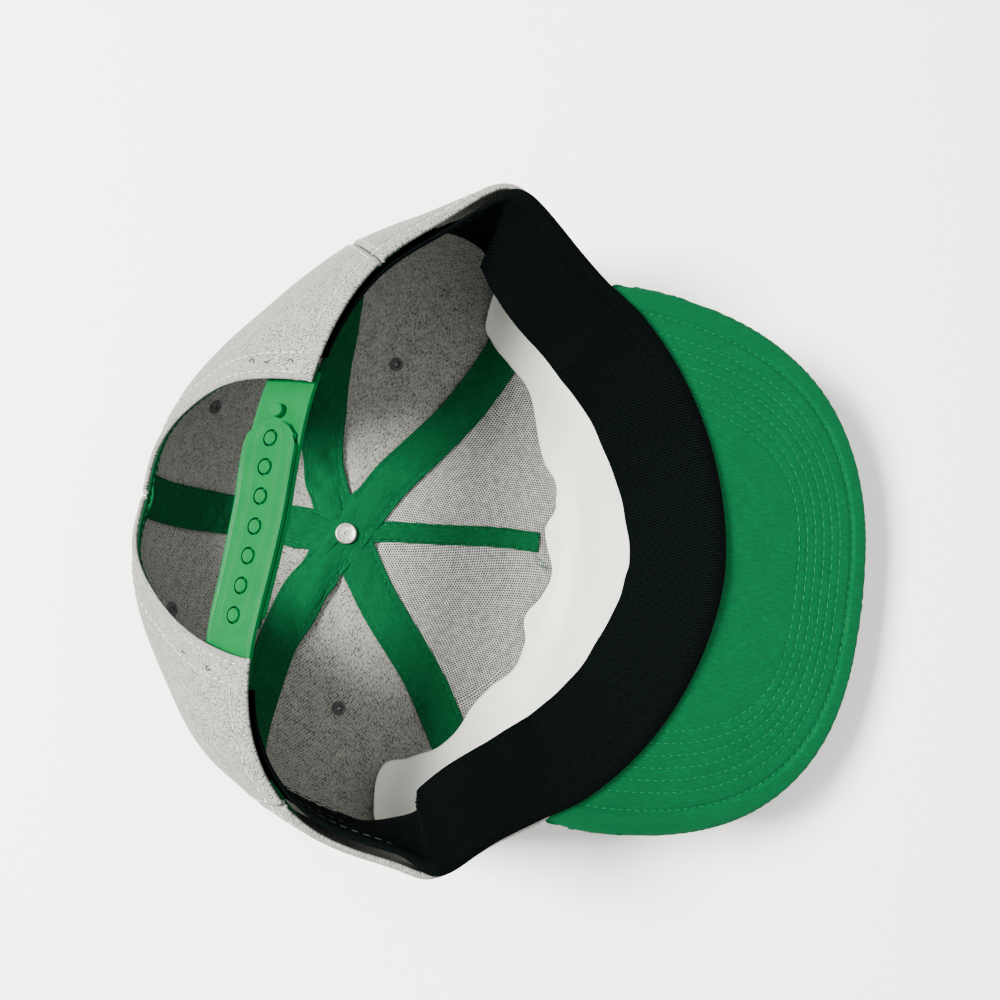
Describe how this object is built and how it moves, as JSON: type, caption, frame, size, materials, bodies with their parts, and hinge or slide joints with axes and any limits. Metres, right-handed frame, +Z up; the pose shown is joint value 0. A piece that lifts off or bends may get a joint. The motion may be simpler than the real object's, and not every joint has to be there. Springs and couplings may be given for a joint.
{
  "type": "snapback cap",
  "caption": "Six-panel snapback cap lying upside down on its crown, with a flat visor, sweatband, seam tapes, a rear arch and a fastened two-part plastic strap.",
  "frame": {"origin": "centre of the part's bounding box in plan, at the floor that the crown lies on", "axes": "+X forward, the way the visor points; +Y to the wearer's right as the cap lies upside down; +Z up from the floor"},
  "size_m": [0.2552, 0.2094, 0.1127],
  "materials": {
    "crown_cloth": "light grey heather twill",
    "mesh_backing": "pale dotted mesh",
    "white_card": "smooth matt white",
    "green_tape": "woven seam tape",
    "black_twill": "matt black twill",
    "green_twill": "matt green twill",
    "green_plastic": "moulded gloss",
    "rivet_metal": "satin",
    "eyelet_thread": "dark sewn thread"
  },
  "bodies": {
    "root": {"front_panel_right": "crown_cloth", "front_panel_left": "crown_cloth", "side_panel_right": "crown_cloth", "side_panel_left": "crown_cloth", "back_panel_right": "crown_cloth", "back_panel_left": "crown_cloth", "front_backing_right": "mesh_backing", "front_backing_left": "mesh_backing", "front_stiffener_card": "white_card", "seam_tape_across": "green_tape", "seam_tape_right_back": "green_tape", "seam_tape_left_front": "green_tape", "seam_tape_back": "green_tape", "seam_tape_front": "green_tape", "arch_binding": "green_tape", "sweatband": "black_twill", "visor_underside": "green_twill", "visor_top": "green_twill", "strap_with_holes": "green_plastic", "strap_with_pegs": "green_plastic", "button_cover": "green_twill", "button_rivet": "rivet_metal", "eyelet_back_right": "eyelet_thread", "eyelet_back_left": "eyelet_thread", "eyelet_side_right": "eyelet_thread", "eyelet_side_left": "eyelet_thread"}
  },
  "joints": []
}
